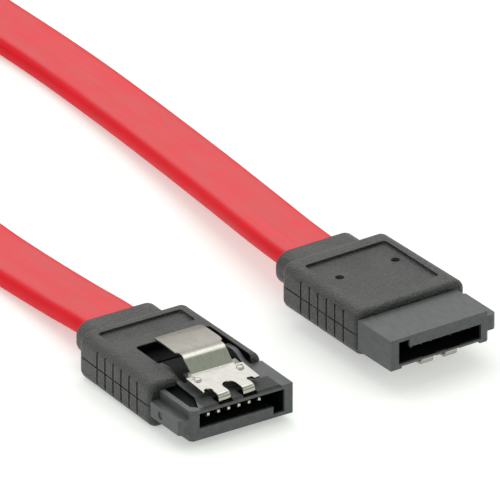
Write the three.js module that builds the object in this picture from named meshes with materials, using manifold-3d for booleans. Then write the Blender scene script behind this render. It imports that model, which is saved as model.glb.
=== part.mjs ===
// Flat data cable with a latching seven-contact plug at each end.
// Millimetres, +Z up. The part lies on z = 0.
// Plug A lies latch side up with its mouth toward -Y. Plug B lies beside it, latch side down.

import * as THREE from 'three';
import Module from 'manifold-3d';
import { mergeVertices } from 'three/addons/utils/BufferGeometryUtils.js';

const wasm = await Module();
wasm.setup();

// Shell, the moulded front of each plug. x runs across it, y back from the mouth, z up from its plain face.
const SHELL_WIDTH = 12.7;
const SHELL_THICKNESS = 3.54;
const SHELL_EXPOSED = 6.1;
const SHELL_CORNER_CHAMFER = 0.35;

// Guide rib along one side of the shell
const RIB_WIDTH = 1.15;
const RIB_BOTTOM = 0.82;
const RIB_TOP = 2.57;
const RIB_SETBACK = 0.35;
const RIB_FRONT_CHAMFER = 0.35;
const EJECTOR_MARK_RADIUS = 0.45;
const EJECTOR_MARK_DEPTH = 0.15;
const EJECTOR_MARK_Y = 4.1;

// Keyed mouth: a wide slot with a leg at one end, as the letter L
const SLOT_LEFT = -5.27;
const SLOT_RIGHT = 5.31;
const SLOT_TOP = 3.04;
const SLOT_LIP_TOP = 1.31;
const SLOT_DEPTH = 5.4;
const LEG_LEFT = 3.94;
const LEG_BOTTOM = 0.43;

// Shell tail, held inside the boot
const TAIL_LEFT = -5.6;
const TAIL_RIGHT = 5.6;
const TAIL_BOTTOM = 0.2;
const TAIL_TOP = 3.4;
const TAIL_END = 11.6;

// Contacts, formed strips side by side
const CONTACT_COUNT = 7;
const CONTACT_PITCH = 1.27;
const FIRST_CONTACT_X = -4.78;
const CONTACT_WIDTH = 0.5;
const CONTACT_THICKNESS = 0.22;
const CONTACT_SEAT_Z = 2.72;
const CONTACT_TIP_Y = 0.75;
const CONTACT_TIP_Z = 1.92;
const CONTACT_TAIL_END = 14.2;
const CONTACT_CLEARANCE = 0.08;

// Latch, one stamped and bent spring strip
const LATCH_CENTRE_X = -0.08;
const LATCH_THICKNESS = 0.26;
const LATCH_PLATE_WIDTH = 7.0;
const LATCH_RISER_WIDTH = 5.2;
const LATCH_TAB_WIDTH = 5.9;
const LATCH_FINGER_WIDTH = 1.45;
const LATCH_FINGER_SPACING = 3.05;
const LATCH_FINGER_OFFSET = -0.2;
const LATCH_PLATE_FRONT = 1.9;
const LATCH_PLATE_REAR = 5.55;
const LATCH_FINGER_Y = 0.5;
const LATCH_FINGER_FOOT_Z = 3.4;
const LATCH_FINGER_BEND = 0.3;
const LATCH_PLATE_Z = 4.07;
const LATCH_PLATE_RISE = 0.22;
const LATCH_RISER_TOP_Y = 6.75;
const LATCH_RISER_TOP_Z = 5.55;
const LATCH_TAB_STEP_Y = 8.15;
const LATCH_TAB_CREST_Y = 9.05;
const LATCH_TAB_CREST_Z = 6.0;
const LATCH_TAB_END_Y = 12.35;
const LATCH_TAB_END_Z = 5.75;
const LATCH_NOTCH_RADIUS = 0.8;
const LATCH_BUMP_RADIUS = 0.45;
const LATCH_BUMP_HEIGHT = 0.28;
const LATCH_BUMP_INSET_X = 0.85;
const LATCH_BUMP_Y = 4.3;
const LATCH_EAR_WIDTH = 0.5;
const LATCH_EAR_LENGTH = 1.1;

// Platform under the latch, and the two cheeks that rise beside it
const PLATFORM_LEFT = -4.0;
const PLATFORM_RIGHT = 4.95;
const PLATFORM_CHAMFER_LENGTH = 0.36;
const PLATFORM_CHAMFER_DROP = 0.3;
const PLATFORM_FRONT_LEFT = -5.1;
const FINGER_POCKET_FRONT = 0.14;
const FINGER_POCKET_CLEARANCE = 0.18;
const FINGER_POCKET_REAR = 1.7;
const CHEEK_WIDTH = 0.62;
const CHEEK_START_Y = 5.2;
const CHEEK_TOP_Y = 8.6;
const CHEEK_END_Y = 10.2;
const CHEEK_TOP_Z = 4.3;
const TROUGH_DEPTH = 0.38;
const TROUGH_FRONT = 0.5;
const TROUGH_EDGE = 0.6;
const TROUGH_TURN_Y = 2.8;
const TROUGH_WALL_LEAN = 0.12;

// Boot, the soft overmould
const BOOT_LEFT = -7.53;
const BOOT_RIGHT = 6.43;
const BOOT_BOTTOM = -0.85;
const BOOT_TOP = 4.5;
const BOOT_END = 20.3;
const BOOT_EDGE_RADIUS = 1.15;
const BOOT_BEVEL = 0.6;
const BOOT_TAPER_PER_MM = 0.018;
const BOOT_GROOVE_COUNT = 6;
const BOOT_GROOVE_START = 8.66;
const BOOT_GROOVE_PITCH = 1.6;
const BOOT_GROOVE_WIDTH = 0.26;
const BOOT_GROOVE_DEPTH = 0.22;
const BOOT_GROOVE_END_GAP = 0.75;
const PARTING_Z = 1.83;
const PARTING_WIDTH = 0.16;
const PARTING_DEPTH = 0.12;
const WINDOW_LEFT = -4.15;
const WINDOW_RIGHT = 5.1;
const WINDOW_REAR = 14.2;
const WINDOW_CORNER = 0.4;
const PANEL_DEPTH = 0.3;
const PANEL_MARGIN_SIDE = 1.75;
const PANEL_MARGIN_REAR = 2.0;
const PANEL_MARGIN_REAR_LATCH = 1.25;
const PANEL_FRONT = 8.3;
const PANEL_FRONT_LATCH = 16.1;
const PANEL_CORNER = 0.4;
const DIMPLE_RADIUS = 0.5;
const DIMPLE_DEPTH = 0.45;
const DIMPLE_Y = 14.4;
const DIMPLE_LEFT = -4.4;
const DIMPLE_RIGHT = 2.8;

// Collar, the neck of the boot round the ribbon
const COLLAR_LEFT = -5.5;
const COLLAR_RIGHT = 4.6;
const COLLAR_BOTTOM = -0.05;
const COLLAR_TOP = 3.7;
const COLLAR_END = 23.8;
const COLLAR_RADIUS = 1.55;
const COLLAR_BEVEL = 0.35;

// Inner block, moulded over the soldered joints
const BLOCK_LEFT = -5.0;
const BLOCK_RIGHT = 4.6;
const BLOCK_BOTTOM = 0.55;
const BLOCK_TOP = 3.2;
const BLOCK_END = 18.6;

// Fit between pieces
const SEAT_CLEARANCE = 0.1;
const RIBBON_CLEARANCE = 0.12;
const END_GAP = 0.3;

// Ribbon
const RIBBON_WIDTH = 7.2;
const RIBBON_THICKNESS = 2.0;
const RIBBON_EDGE_RADIUS = 0.85;
const RIBBON_X = -0.45;

// Where the two plugs lie
const FLOOR_GAP = 0.04;
const PLUG_B_X = 24.36;
const PLUG_B_Y = -0.73;
const PLUG_B_TURN = 1.96;

// The origin stands under the middle of the two plugs
const ORIGIN_X = 12.156;
const ORIGIN_Y = 11.432;

// Hank of the spare length and its tie
const HANK_X = 14.5;
const HANK_FRONT = 150;
const HANK_RUN = 62;
const HANK_HEIGHT = 11.0;
const HANK_CORNER = 3.2;
const TIE_THICKNESS = 0.6;
const TIE_WIDTH = 4.0;
const TIE_CLEARANCE = 0.12;

const MATERIALS = {
  boot: { color: 0x3a3b3c, roughness: 0.62, metalness: 0 },
  shell: { color: 0x3c3e40, roughness: 0.5, metalness: 0 },
  block: { color: 0xd9d6c8, roughness: 0.55, metalness: 0 },
  contact: { color: 0xd9b45a, roughness: 0.3, metalness: 1 },
  latch: { color: 0xc9c8c2, roughness: 0.25, metalness: 1 },
  ribbon: { color: 0xd81e2c, roughness: 0.45, metalness: 0 },
  tie: { color: 0x202020, roughness: 0.7, metalness: 0 },
};

// Closed-solid helpers

function toSolid(geometry) {
  let bare = geometry.index ? geometry.toNonIndexed() : geometry.clone();
  for (const key of Object.keys(bare.attributes)) {
    if (key !== 'position') bare.deleteAttribute(key);
  }
  bare = mergeVertices(bare, 1e-4);
  const mesh = new wasm.Mesh({
    numProp: 3,
    vertProperties: new Float32Array(bare.attributes.position.array),
    triVerts: new Uint32Array(bare.index.array),
  });
  mesh.merge();
  return new wasm.Manifold(mesh);
}

function toGeometry(solid) {
  const mesh = solid.getMesh();
  const geometry = new THREE.BufferGeometry();
  const positions = new Float32Array(mesh.numVert * 3);
  for (let i = 0; i < mesh.numVert; i += 1) {
    for (let k = 0; k < 3; k += 1) {
      positions[i * 3 + k] = mesh.vertProperties[i * mesh.numProp + k];
    }
  }
  geometry.setAttribute('position', new THREE.BufferAttribute(positions, 3));
  geometry.setIndex(new THREE.BufferAttribute(new Uint32Array(mesh.triVerts), 1));
  geometry.computeVertexNormals();
  return geometry;
}

function boxBetween(x0, x1, y0, y1, z0, z1) {
  const geometry = new THREE.BoxGeometry(x1 - x0, y1 - y0, z1 - z0);
  geometry.translate((x0 + x1) / 2, (y0 + y1) / 2, (z0 + z1) / 2);
  return toSolid(geometry);
}

function roundedRect(a0, a1, b0, b1, radius) {
  const shape = new THREE.Shape();
  shape.moveTo(a0 + radius, b0);
  shape.lineTo(a1 - radius, b0);
  shape.absarc(a1 - radius, b0 + radius, radius, -Math.PI / 2, 0, false);
  shape.lineTo(a1, b1 - radius);
  shape.absarc(a1 - radius, b1 - radius, radius, 0, Math.PI / 2, false);
  shape.lineTo(a0 + radius, b1);
  shape.absarc(a0 + radius, b1 - radius, radius, Math.PI / 2, Math.PI, false);
  shape.lineTo(a0, b0 + radius);
  shape.absarc(a0 + radius, b0 + radius, radius, Math.PI, Math.PI * 1.5, false);
  return shape;
}

// A section drawn in x and z, run along y from y0 to y1
function alongY(shape, y0, y1, options = {}) {
  const bevel = options.bevel ?? 0;
  const geometry = new THREE.ExtrudeGeometry(shape, {
    depth: y1 - y0 - 2 * bevel,
    curveSegments: options.segments ?? 6,
    bevelEnabled: bevel > 0,
    bevelThickness: bevel,
    bevelSize: bevel,
    bevelOffset: -bevel,
    bevelSegments: 3,
  });
  geometry.translate(0, 0, bevel);
  geometry.rotateX(Math.PI / 2);
  geometry.translate(0, y1, 0);
  return geometry;
}

// A side profile drawn in y and z, run across x from x0 to x1
function acrossX(points, x0, x1) {
  const shape = new THREE.Shape(points.map(([y, z]) => new THREE.Vector2(y, z)));
  const geometry = new THREE.ExtrudeGeometry(shape, { depth: x1 - x0, bevelEnabled: false });
  const turn = new THREE.Matrix4().makeBasis(
    new THREE.Vector3(0, 1, 0),
    new THREE.Vector3(0, 0, 1),
    new THREE.Vector3(1, 0, 0),
  );
  geometry.applyMatrix4(turn);
  geometry.translate(x0, 0, 0);
  return toSolid(geometry);
}

// A plan outline drawn in x and y, raised from z0 to z1
function upFrom(shape, z0, z1, segments = 8) {
  const geometry = new THREE.ExtrudeGeometry(shape, {
    depth: z1 - z0,
    bevelEnabled: false,
    curveSegments: segments,
  });
  geometry.translate(0, 0, z0);
  return toSolid(geometry);
}

function upright(radius, x, y, z0, z1, sides = 20) {
  const geometry = new THREE.CylinderGeometry(radius, radius, z1 - z0, sides);
  geometry.rotateX(Math.PI / 2);
  geometry.translate(x, y, (z0 + z1) / 2);
  return toSolid(geometry);
}

// Strip of even thickness that follows a line drawn in y and z
function stripProfile(line, thickness) {
  const points = line.map(([y, z]) => new THREE.Vector2(y, z));
  const upper = [];
  for (let i = 0; i < points.length; i += 1) {
    const before = points[Math.max(i - 1, 0)];
    const after = points[Math.min(i + 1, points.length - 1)];
    const along = after.clone().sub(before).normalize();
    upper.push([points[i].x - along.y * thickness, points[i].y + along.x * thickness]);
  }
  return [...line, ...upper.reverse()];
}

// A smooth run of points through a few hand-set ones
function smoothLine(points, divisions) {
  const curve = new THREE.CatmullRomCurve3(
    points.map(([y, z]) => new THREE.Vector3(y, z, 0)),
    false,
    'centripetal',
  );
  return curve.getPoints(divisions).map((p) => [p.x, p.y]);
}

// Shell with its keyed mouth, guide rib, platform, finger pockets and cheeks

function latchSpan(width) {
  return [LATCH_CENTRE_X - width / 2, LATCH_CENTRE_X + width / 2];
}

function fingerCentres() {
  const middle = LATCH_CENTRE_X + LATCH_FINGER_OFFSET;
  return [middle - LATCH_FINGER_SPACING / 2, middle + LATCH_FINGER_SPACING / 2];
}

function contactCentres() {
  return Array.from({ length: CONTACT_COUNT }, (_, i) => FIRST_CONTACT_X + i * CONTACT_PITCH);
}

function shellBody() {
  const half = SHELL_WIDTH / 2;
  const c = SHELL_CORNER_CHAMFER;
  const plan = new THREE.Shape();
  plan.moveTo(-half + c, 0);
  plan.lineTo(half - c, 0);
  plan.lineTo(half, c);
  plan.lineTo(half, SHELL_EXPOSED - SEAT_CLEARANCE);
  plan.lineTo(-half, SHELL_EXPOSED - SEAT_CLEARANCE);
  plan.lineTo(-half, c);
  plan.closePath();
  const body = upFrom(plan, 0, SHELL_THICKNESS);
  const tail = boxBetween(TAIL_LEFT, TAIL_RIGHT, SLOT_DEPTH - 1, TAIL_END, TAIL_BOTTOM, TAIL_TOP);
  return body.add(tail);
}

function guideRib() {
  const outer = -SHELL_WIDTH / 2 - RIB_WIDTH;
  const inner = -SHELL_WIDTH / 2 + 0.5;
  const plan = new THREE.Shape();
  plan.moveTo(inner, RIB_SETBACK);
  plan.lineTo(outer + RIB_FRONT_CHAMFER, RIB_SETBACK);
  plan.lineTo(outer, RIB_SETBACK + RIB_FRONT_CHAMFER);
  plan.lineTo(outer, SHELL_EXPOSED - SEAT_CLEARANCE);
  plan.lineTo(inner, SHELL_EXPOSED - SEAT_CLEARANCE);
  plan.closePath();
  let rib = upFrom(plan, RIB_BOTTOM, RIB_TOP);
  const mark = new THREE.CylinderGeometry(
    EJECTOR_MARK_RADIUS,
    EJECTOR_MARK_RADIUS,
    EJECTOR_MARK_DEPTH * 2,
    18,
  );
  mark.rotateZ(Math.PI / 2);
  mark.translate(outer, EJECTOR_MARK_Y, (RIB_BOTTOM + RIB_TOP) / 2);
  rib = rib.subtract(toSolid(mark));
  return rib;
}

function cheek(x0, x1) {
  const rise = smoothLine(
    [
      [CHEEK_START_Y, SHELL_THICKNESS],
      [(CHEEK_START_Y + CHEEK_TOP_Y) / 2, SHELL_THICKNESS + 0.18],
      [CHEEK_TOP_Y - 0.7, CHEEK_TOP_Z - 0.16],
      [CHEEK_TOP_Y, CHEEK_TOP_Z],
      [CHEEK_END_Y, CHEEK_TOP_Z - 0.12],
    ],
    14,
  );
  const foot = TAIL_TOP - 0.6;
  return acrossX([[CHEEK_START_Y, foot], [CHEEK_END_Y, foot], ...rise.reverse()], x0, x1);
}

function trough() {
  const outer = -SHELL_WIDTH / 2 + TROUGH_EDGE;
  const plan = new THREE.Shape();
  plan.moveTo(outer, TROUGH_FRONT + TROUGH_EDGE);
  plan.lineTo(PLATFORM_FRONT_LEFT, TROUGH_FRONT);
  plan.lineTo(PLATFORM_LEFT - TROUGH_WALL_LEAN, TROUGH_TURN_Y);
  plan.lineTo(PLATFORM_LEFT, SHELL_EXPOSED + 1);
  plan.lineTo(outer, SHELL_EXPOSED + 1);
  plan.closePath();
  return upFrom(plan, SHELL_THICKNESS - TROUGH_DEPTH, SHELL_THICKNESS + 1);
}

// Sloped front edge of the platform, over which the finger pockets open
function platformChamfer() {
  const low = SHELL_THICKNESS - PLATFORM_CHAMFER_DROP;
  const profile = [
    [-1, low],
    [0, low],
    [PLATFORM_CHAMFER_LENGTH, SHELL_THICKNESS],
    [PLATFORM_CHAMFER_LENGTH, SHELL_THICKNESS + 1],
    [-1, SHELL_THICKNESS + 1],
  ];
  return acrossX(profile, PLATFORM_FRONT_LEFT, PLATFORM_RIGHT);
}

function makeShell() {
  let shell = shellBody().add(guideRib());
  const slot = boxBetween(SLOT_LEFT, SLOT_RIGHT, -1, SLOT_DEPTH, SLOT_LIP_TOP, SLOT_TOP);
  const leg = boxBetween(LEG_LEFT, SLOT_RIGHT, -1, SLOT_DEPTH, LEG_BOTTOM, SLOT_TOP);
  shell = shell.subtract(slot.add(leg));
  shell = shell.subtract(trough());
  shell = shell.subtract(platformChamfer());
  for (const x of fingerCentres()) {
    const reach = LATCH_FINGER_WIDTH / 2 + FINGER_POCKET_CLEARANCE;
    const pocket = boxBetween(
      x - reach,
      x + reach,
      FINGER_POCKET_FRONT,
      FINGER_POCKET_REAR,
      SLOT_TOP - 0.2,
      SHELL_THICKNESS + 1,
    );
    shell = shell.subtract(pocket);
  }
  shell = shell.add(cheek(PLATFORM_LEFT, PLATFORM_LEFT + CHEEK_WIDTH));
  shell = shell.add(cheek(PLATFORM_RIGHT - CHEEK_WIDTH, PLATFORM_RIGHT));
  const reach = CONTACT_WIDTH / 2 + CONTACT_CLEARANCE;
  for (const x of contactCentres()) {
    const channel = boxBetween(
      x - reach,
      x + reach,
      SLOT_DEPTH - 0.5,
      TAIL_END + 1,
      CONTACT_SEAT_Z - CONTACT_CLEARANCE,
      CONTACT_SEAT_Z + CONTACT_THICKNESS + CONTACT_CLEARANCE,
    );
    shell = shell.subtract(channel);
  }
  return shell;
}

// Contact: a sprung strip that dips into the mouth and curls up at its tip

function makeContact(x) {
  const line = [
    [CONTACT_TAIL_END, CONTACT_SEAT_Z],
    [SLOT_DEPTH - 0.6, CONTACT_SEAT_Z],
    [3.6, CONTACT_SEAT_Z - 0.3],
    [1.9, CONTACT_TIP_Z - 0.12],
    [1.35, CONTACT_TIP_Z - 0.14],
    [CONTACT_TIP_Y, CONTACT_TIP_Z + 0.12],
  ];
  const profile = stripProfile(line.reverse(), CONTACT_THICKNESS);
  return acrossX(profile, x - CONTACT_WIDTH / 2, x + CONTACT_WIDTH / 2);
}

// Latch: fingers, plate, riser and thumb tab bent from one strip

function latchLine() {
  const plateEnd = LATCH_PLATE_Z + LATCH_PLATE_RISE;
  const inner = LATCH_FINGER_Y + LATCH_THICKNESS;
  return [
    [inner, LATCH_FINGER_FOOT_Z],
    [inner, LATCH_PLATE_Z - LATCH_FINGER_BEND],
    [inner + LATCH_FINGER_BEND * 0.12, LATCH_PLATE_Z - LATCH_FINGER_BEND * 0.45],
    [inner + LATCH_FINGER_BEND * 0.45, LATCH_PLATE_Z - LATCH_FINGER_BEND * 0.12],
    [inner + LATCH_FINGER_BEND, LATCH_PLATE_Z],
    [LATCH_PLATE_FRONT, LATCH_PLATE_Z],
    [LATCH_PLATE_REAR, plateEnd],
    [LATCH_PLATE_REAR + 0.25, plateEnd + 0.12],
    [LATCH_RISER_TOP_Y - 0.25, LATCH_RISER_TOP_Z - 0.22],
    [LATCH_RISER_TOP_Y, LATCH_RISER_TOP_Z],
    [LATCH_TAB_STEP_Y, LATCH_TAB_CREST_Z - 0.1],
    [LATCH_TAB_CREST_Y, LATCH_TAB_CREST_Z],
    [(LATCH_TAB_CREST_Y + LATCH_TAB_END_Y) / 2 + 0.3, LATCH_TAB_CREST_Z - 0.04],
    [LATCH_TAB_END_Y - 0.35, LATCH_TAB_END_Z + 0.12],
    [LATCH_TAB_END_Y, LATCH_TAB_END_Z],
  ];
}

function latchBlank() {
  const line = latchLine();
  const widest = LATCH_PLATE_WIDTH;
  const [x0, x1] = latchSpan(widest);
  return acrossX(stripProfile(line, LATCH_THICKNESS), x0, x1);
}

function latchOutline() {
  const low = 2;
  const high = 8;
  const riser = latchSpan(LATCH_RISER_WIDTH);
  const tab = latchSpan(LATCH_TAB_WIDTH);
  const plate = latchSpan(LATCH_PLATE_WIDTH);
  const rear = LATCH_PLATE_REAR - 0.35;
  let keep = boxBetween(plate[0], plate[1], LATCH_PLATE_FRONT, rear, low, high);
  keep = keep.add(boxBetween(riser[0], riser[1], rear - 0.5, LATCH_TAB_STEP_Y + 0.2, low, high));
  const wing = new THREE.Shape();
  wing.moveTo(riser[0], LATCH_TAB_STEP_Y - 0.45);
  wing.lineTo(riser[1], LATCH_TAB_STEP_Y - 0.45);
  wing.lineTo(tab[1], LATCH_TAB_STEP_Y);
  wing.lineTo(tab[1], LATCH_TAB_END_Y - 0.5);
  wing.lineTo(tab[1] - 0.3, LATCH_TAB_END_Y + 0.6);
  wing.lineTo(tab[0] + 0.3, LATCH_TAB_END_Y + 0.6);
  wing.lineTo(tab[0], LATCH_TAB_END_Y - 0.5);
  wing.lineTo(tab[0], LATCH_TAB_STEP_Y);
  wing.closePath();
  keep = keep.add(upFrom(wing, low, high));
  for (const x of fingerCentres()) {
    const half = LATCH_FINGER_WIDTH / 2;
    keep = keep.add(boxBetween(x - half, x + half, 0, LATCH_PLATE_FRONT + 0.4, low, high));
  }
  return keep;
}

function makeLatch() {
  const plate = latchSpan(LATCH_PLATE_WIDTH);
  const fingers = fingerCentres();
  let latch = latchBlank().intersect(latchOutline());
  const middle = (fingers[0] + fingers[1]) / 2;
  latch = latch.subtract(upright(LATCH_NOTCH_RADIUS, middle, LATCH_PLATE_FRONT, 2, 8));
  const leftNotch = (plate[0] + fingers[0] - LATCH_FINGER_WIDTH / 2) / 2 + 0.15;
  latch = latch.subtract(upright(0.5, leftNotch, LATCH_PLATE_FRONT, 2, 8));
  const rightNotch = fingers[1] + LATCH_FINGER_WIDTH / 2 + 0.35;
  latch = latch.subtract(upright(0.42, rightNotch, LATCH_PLATE_FRONT, 2, 8));
  const riseAtBump = (LATCH_PLATE_RISE * (LATCH_BUMP_Y - LATCH_PLATE_FRONT))
    / (LATCH_PLATE_REAR - LATCH_PLATE_FRONT);
  const top = LATCH_PLATE_Z + riseAtBump + LATCH_THICKNESS;
  for (const x of [plate[0] + LATCH_BUMP_INSET_X, plate[1] - LATCH_BUMP_INSET_X]) {
    const dome = new THREE.SphereGeometry(LATCH_BUMP_RADIUS, 14, 8);
    dome.scale(1, 1, LATCH_BUMP_HEIGHT / LATCH_BUMP_RADIUS);
    dome.translate(x, LATCH_BUMP_Y, top - 0.03);
    latch = latch.add(toSolid(dome));
  }
  const earRear = LATCH_PLATE_REAR + 0.2;
  for (const side of [-1, 1]) {
    const edge = side < 0 ? plate[0] : plate[1];
    const inner = edge - side * 0.45;
    const low = LATCH_PLATE_Z + LATCH_PLATE_RISE * 0.9;
    const x0 = Math.min(edge - side * (0.45 + LATCH_EAR_WIDTH), inner + side * 0.2);
    const x1 = Math.max(edge - side * (0.45 + LATCH_EAR_WIDTH), inner + side * 0.2);
    const ear = boxBetween(x0, x1, earRear - LATCH_EAR_LENGTH, earRear + 0.25, low, low + LATCH_THICKNESS);
    latch = latch.add(ear);
  }
  return latch;
}

// Boot: rounded block with a taper, side grooves, panels, window and collar

function tapered(geometry) {
  const position = geometry.attributes.position;
  const middle = (BOOT_LEFT + BOOT_RIGHT) / 2;
  const half = (BOOT_RIGHT - BOOT_LEFT) / 2;
  for (let i = 0; i < position.count; i += 1) {
    const y = position.getY(i);
    const share = 1 - (BOOT_TAPER_PER_MM * (y - SHELL_EXPOSED)) / half;
    position.setX(i, middle + (position.getX(i) - middle) * share);
  }
  return geometry;
}

function bootInset(y) {
  return BOOT_TAPER_PER_MM * (y - SHELL_EXPOSED);
}

function bootBlock() {
  const section = roundedRect(BOOT_LEFT, BOOT_RIGHT, BOOT_BOTTOM, BOOT_TOP, BOOT_EDGE_RADIUS);
  return toSolid(tapered(alongY(section, SHELL_EXPOSED, BOOT_END, { bevel: BOOT_BEVEL, segments: 6 })));
}

function collar() {
  const section = roundedRect(COLLAR_LEFT, COLLAR_RIGHT, COLLAR_BOTTOM, COLLAR_TOP, COLLAR_RADIUS);
  return toSolid(alongY(section, BOOT_END - 2, COLLAR_END, { bevel: COLLAR_BEVEL, segments: 6 }));
}

function partingGroove() {
  const inset = PARTING_DEPTH;
  const low = PARTING_Z - PARTING_WIDTH / 2;
  const high = PARTING_Z + PARTING_WIDTH / 2;
  const frontInset = inset;
  const rearInset = inset + bootInset(BOOT_END);
  const outer = boxBetween(BOOT_LEFT - 1, BOOT_RIGHT + 1, SHELL_EXPOSED - 1, BOOT_END + 0.02, low, high);
  const core = new THREE.Shape();
  core.moveTo(BOOT_LEFT + frontInset, SHELL_EXPOSED - 2);
  core.lineTo(BOOT_RIGHT - frontInset, SHELL_EXPOSED - 2);
  core.lineTo(BOOT_RIGHT - rearInset, BOOT_END - 1.5);
  core.lineTo(BOOT_RIGHT - rearInset - BOOT_BEVEL, BOOT_END - inset);
  core.lineTo(BOOT_LEFT + rearInset + BOOT_BEVEL, BOOT_END - inset);
  core.lineTo(BOOT_LEFT + rearInset, BOOT_END - 1.5);
  core.closePath();
  return outer.subtract(upFrom(core, low - 1, high + 1));
}

function sideGroove(y, side) {
  const edge = side < 0 ? BOOT_LEFT + bootInset(y) : BOOT_RIGHT - bootInset(y);
  const x0 = side < 0 ? edge - 1 : edge - BOOT_GROOVE_DEPTH;
  const x1 = side < 0 ? edge + BOOT_GROOVE_DEPTH : edge + 1;
  return boxBetween(
    x0,
    x1,
    y - BOOT_GROOVE_WIDTH / 2,
    y + BOOT_GROOVE_WIDTH / 2,
    BOOT_BOTTOM + BOOT_GROOVE_END_GAP,
    BOOT_TOP - BOOT_GROOVE_END_GAP,
  );
}

function panel(z0, z1, front, rearMargin) {
  const left = BOOT_LEFT + PANEL_MARGIN_SIDE;
  const right = BOOT_RIGHT - PANEL_MARGIN_SIDE;
  const plan = roundedRect(left, right, front, BOOT_END - rearMargin, PANEL_CORNER);
  return upFrom(plan, z0, z1, 4);
}

function ribbonSection(clearance) {
  return roundedRect(
    RIBBON_X - RIBBON_WIDTH / 2 - clearance,
    RIBBON_X + RIBBON_WIDTH / 2 + clearance,
    PARTING_Z - RIBBON_THICKNESS / 2 - clearance,
    PARTING_Z + RIBBON_THICKNESS / 2 + clearance,
    RIBBON_EDGE_RADIUS,
  );
}

function makeBoot() {
  let boot = bootBlock().add(collar());
  boot = boot.subtract(partingGroove());
  for (let i = 0; i < BOOT_GROOVE_COUNT; i += 1) {
    const y = BOOT_GROOVE_START + i * BOOT_GROOVE_PITCH;
    boot = boot.subtract(sideGroove(y, -1));
    boot = boot.subtract(sideGroove(y, 1));
  }
  boot = boot.subtract(panel(BOOT_BOTTOM - 1, BOOT_BOTTOM + PANEL_DEPTH, PANEL_FRONT, PANEL_MARGIN_REAR));
  boot = boot.subtract(
    panel(BOOT_TOP - PANEL_DEPTH, BOOT_TOP + 1, PANEL_FRONT_LATCH, PANEL_MARGIN_REAR_LATCH),
  );
  for (const x of [DIMPLE_LEFT, DIMPLE_RIGHT]) {
    const floor = BOOT_BOTTOM + PANEL_DEPTH + DIMPLE_DEPTH;
    boot = boot.subtract(upright(DIMPLE_RADIUS, x, DIMPLE_Y, BOOT_BOTTOM - 1, floor, 16));
  }
  const opening = roundedRect(
    WINDOW_LEFT,
    WINDOW_RIGHT,
    SHELL_EXPOSED - 2,
    WINDOW_REAR,
    WINDOW_CORNER,
  );
  const c = SEAT_CLEARANCE;
  boot = boot.subtract(upFrom(opening, TAIL_TOP + c, BOOT_TOP + 1, 4));
  boot = boot.subtract(
    boxBetween(TAIL_LEFT - c, TAIL_RIGHT + c, SHELL_EXPOSED - 1, TAIL_END + c, TAIL_BOTTOM - c, TAIL_TOP + c),
  );
  boot = boot.subtract(
    boxBetween(BLOCK_LEFT - c, BLOCK_RIGHT + c, TAIL_END - c, BLOCK_END + c, BLOCK_BOTTOM - c, BLOCK_TOP + c),
  );
  const passage = toSolid(alongY(ribbonSection(RIBBON_CLEARANCE), BLOCK_END - 0.5, COLLAR_END + 1));
  return boot.subtract(passage);
}

// Inner block over the joints between contact tails and wires

function makeBlock() {
  let block = boxBetween(BLOCK_LEFT, BLOCK_RIGHT, TAIL_END + SEAT_CLEARANCE, BLOCK_END, BLOCK_BOTTOM, BLOCK_TOP);
  const reach = CONTACT_WIDTH / 2 + CONTACT_CLEARANCE;
  for (const x of contactCentres()) {
    const seat = boxBetween(
      x - reach,
      x + reach,
      TAIL_END - 1,
      CONTACT_TAIL_END + CONTACT_CLEARANCE,
      CONTACT_SEAT_Z - CONTACT_CLEARANCE,
      CONTACT_SEAT_Z + CONTACT_THICKNESS + CONTACT_CLEARANCE,
    );
    block = block.subtract(seat);
  }
  return block;
}

// One plug in its own frame

function plugPieces() {
  const pieces = [
    ['boot', makeBoot(), 'boot'],
    ['shell', makeShell(), 'shell'],
    ['inner_block', makeBlock(), 'block'],
    ['latch', makeLatch(), 'latch'],
  ];
  contactCentres().forEach((x, i) => pieces.push([`contact_${i + 1}`, makeContact(x), 'contact']));
  return pieces;
}

function plugFrameA() {
  return new THREE.Matrix4().makeTranslation(0, 0, -BOOT_BOTTOM);
}

// Plug B is the same plug turned over about its long axis, so that its thumb tab is nearest the floor
function latchHeight() {
  return LATCH_TAB_CREST_Z + LATCH_THICKNESS + 0.02;
}

function plugFrameB() {
  const over = new THREE.Matrix4().makeRotationY(Math.PI);
  const turn = new THREE.Matrix4().makeRotationZ(THREE.MathUtils.degToRad(PLUG_B_TURN));
  const place = new THREE.Matrix4().makeTranslation(PLUG_B_X, PLUG_B_Y, latchHeight() + FLOOR_GAP);
  return place.multiply(turn).multiply(over);
}

// Ribbon: a flat section carried along a hand-set line of points

function ribbonRing(section, centre, forward, side) {
  const up = new THREE.Vector3().crossVectors(side, forward).normalize();
  return section.map((p) => centre.clone()
    .addScaledVector(side, p.x)
    .addScaledVector(up, p.y));
}

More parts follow.
